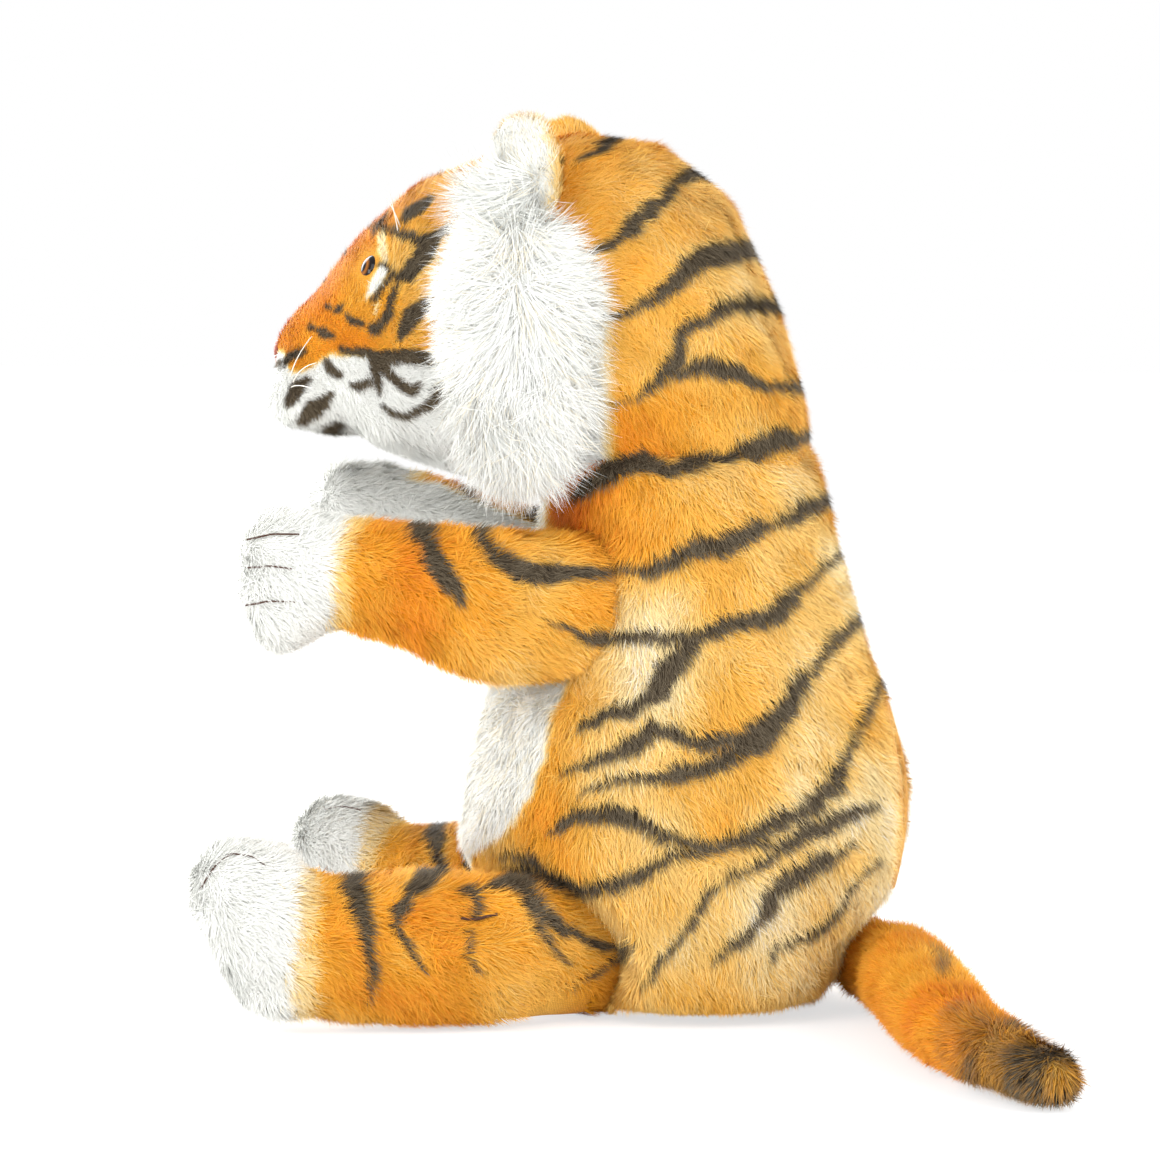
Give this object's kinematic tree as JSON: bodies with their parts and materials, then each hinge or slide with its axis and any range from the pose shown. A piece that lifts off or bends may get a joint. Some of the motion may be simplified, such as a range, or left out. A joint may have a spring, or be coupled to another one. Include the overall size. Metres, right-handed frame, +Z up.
{
  "type": "hand puppet",
  "caption": "Seated plush tiger glove puppet with a hand slit in the lower back, finger pockets in head and arms, and soft jointed limbs, head and tail.",
  "frame": {"origin": "on the seat that the puppet rests on, under the middle of the body", "axes": "+Z up, the tiger faces -Y and its left side is +X"},
  "size_m": [0.2927, 0.322, 0.323],
  "materials": {
    "striped_plush": "golden orange plush with dark brown stripes, 8 mm pile",
    "white_plush": "white plush, long on the cheeks",
    "dark_plush": "dark brown mottled plush",
    "lining_cloth": "thin woven cloth",
    "stuffing": "fibre filling",
    "nose_cloth": "short napped cloth",
    "eye_plastic": "polished",
    "washer_plastic": "plain",
    "whisker_nylon": "drawn strand"
  },
  "bodies": {
    "torso": {"left_flank": "striped_plush", "right_flank": "striped_plush", "belly_panel": "white_plush", "seat_panel": "striped_plush", "hand_lining": "lining_cloth", "seat_filling": "stuffing", "slit_binding": "lining_cloth", "neck_collar": "lining_cloth"},
    "neck": {"head_finger_tube": "lining_cloth"},
    "head": {"head_cover": "striped_plush", "head_filling": "stuffing", "left_whisker_pad": "white_plush", "right_whisker_pad": "white_plush", "chin": "white_plush", "nose": "nose_cloth", "left_eye": "eye_plastic", "right_eye": "eye_plastic", "left_eye_washer": "washer_plastic", "right_eye_washer": "washer_plastic", "left_ear": "striped_plush", "right_ear": "striped_plush", "left_ear_lining": "white_plush", "right_ear_lining": "white_plush", "left_ruff": "white_plush", "right_ruff": "white_plush", "left_whiskers": "whisker_nylon", "right_whiskers": "whisker_nylon", "left_brow_whisker": "whisker_nylon", "right_brow_whisker": "whisker_nylon"},
    "left_shoulder": {"left_arm_finger_tube": "lining_cloth"},
    "left_arm": {"left_sleeve": "striped_plush", "left_paw": "white_plush", "left_paw_filling": "stuffing"},
    "right_shoulder": {"right_arm_finger_tube": "lining_cloth"},
    "right_arm": {"right_sleeve": "striped_plush", "right_paw": "white_plush", "right_paw_filling": "stuffing"},
    "left_leg": {"left_leg_cover": "striped_plush", "left_foot": "white_plush", "left_leg_filling": "stuffing"},
    "right_leg": {"right_leg_cover": "striped_plush", "right_foot": "white_plush", "right_leg_filling": "stuffing"},
    "tail": {"tail_cover": "striped_plush", "tail_tip": "dark_plush", "tail_filling": "stuffing"}
  },
  "joints": [
    {"name": "head_turn", "type": "hinge", "parent": "torso", "child": "neck", "pos_m": [0, 0.012, 0.195], "axis": [0, 0, 1], "range_deg": [-30, 30], "stiffness_Nm_per_rad": 0.5},
    {"name": "head_tip_back", "type": "hinge", "parent": "neck", "child": "head", "pos_m": [0, 0.03, 0.1953], "axis": [-1, 0, 0], "range_deg": [0, 18]},
    {"name": "left_arm_lower", "type": "hinge", "parent": "torso", "child": "left_shoulder", "pos_m": [0.054, -0.018, 0.149], "axis": [1, 0, 0], "range_deg": [-3, 22], "stiffness_Nm_per_rad": 1, "springref_deg": -1.15},
    {"name": "left_arm_out", "type": "hinge", "parent": "left_shoulder", "child": "left_arm", "pos_m": [0.054, -0.018, 0.149], "axis": [0, 0, 1], "range_deg": [-12, 30], "stiffness_Nm_per_rad": 0.6},
    {"name": "right_arm_lower", "type": "hinge", "parent": "torso", "child": "right_shoulder", "pos_m": [-0.054, -0.018, 0.149], "axis": [1, 0, 0], "range_deg": [-3, 22], "stiffness_Nm_per_rad": 1, "springref_deg": -1.15},
    {"name": "right_arm_out", "type": "hinge", "parent": "right_shoulder", "child": "right_arm", "pos_m": [-0.054, -0.018, 0.149], "axis": [0, 0, -1], "range_deg": [-12, 30], "stiffness_Nm_per_rad": 0.6},
    {"name": "left_leg_lower", "type": "hinge", "parent": "torso", "child": "left_leg", "pos_m": [0.05, -0.025, 0.029], "axis": [1, 0, 0], "range_deg": [-18, 30], "stiffness_Nm_per_rad": 0.8},
    {"name": "right_leg_lower", "type": "hinge", "parent": "torso", "child": "right_leg", "pos_m": [-0.05, -0.025, 0.029], "axis": [1, 0, 0], "range_deg": [-18, 30], "stiffness_Nm_per_rad": 0.8},
    {"name": "tail_swing", "type": "hinge", "parent": "torso", "child": "tail", "pos_m": [0, 0.077, 0.02], "axis": [0, 0, 1], "range_deg": [-8, 80], "stiffness_Nm_per_rad": 0.5}
  ]
}
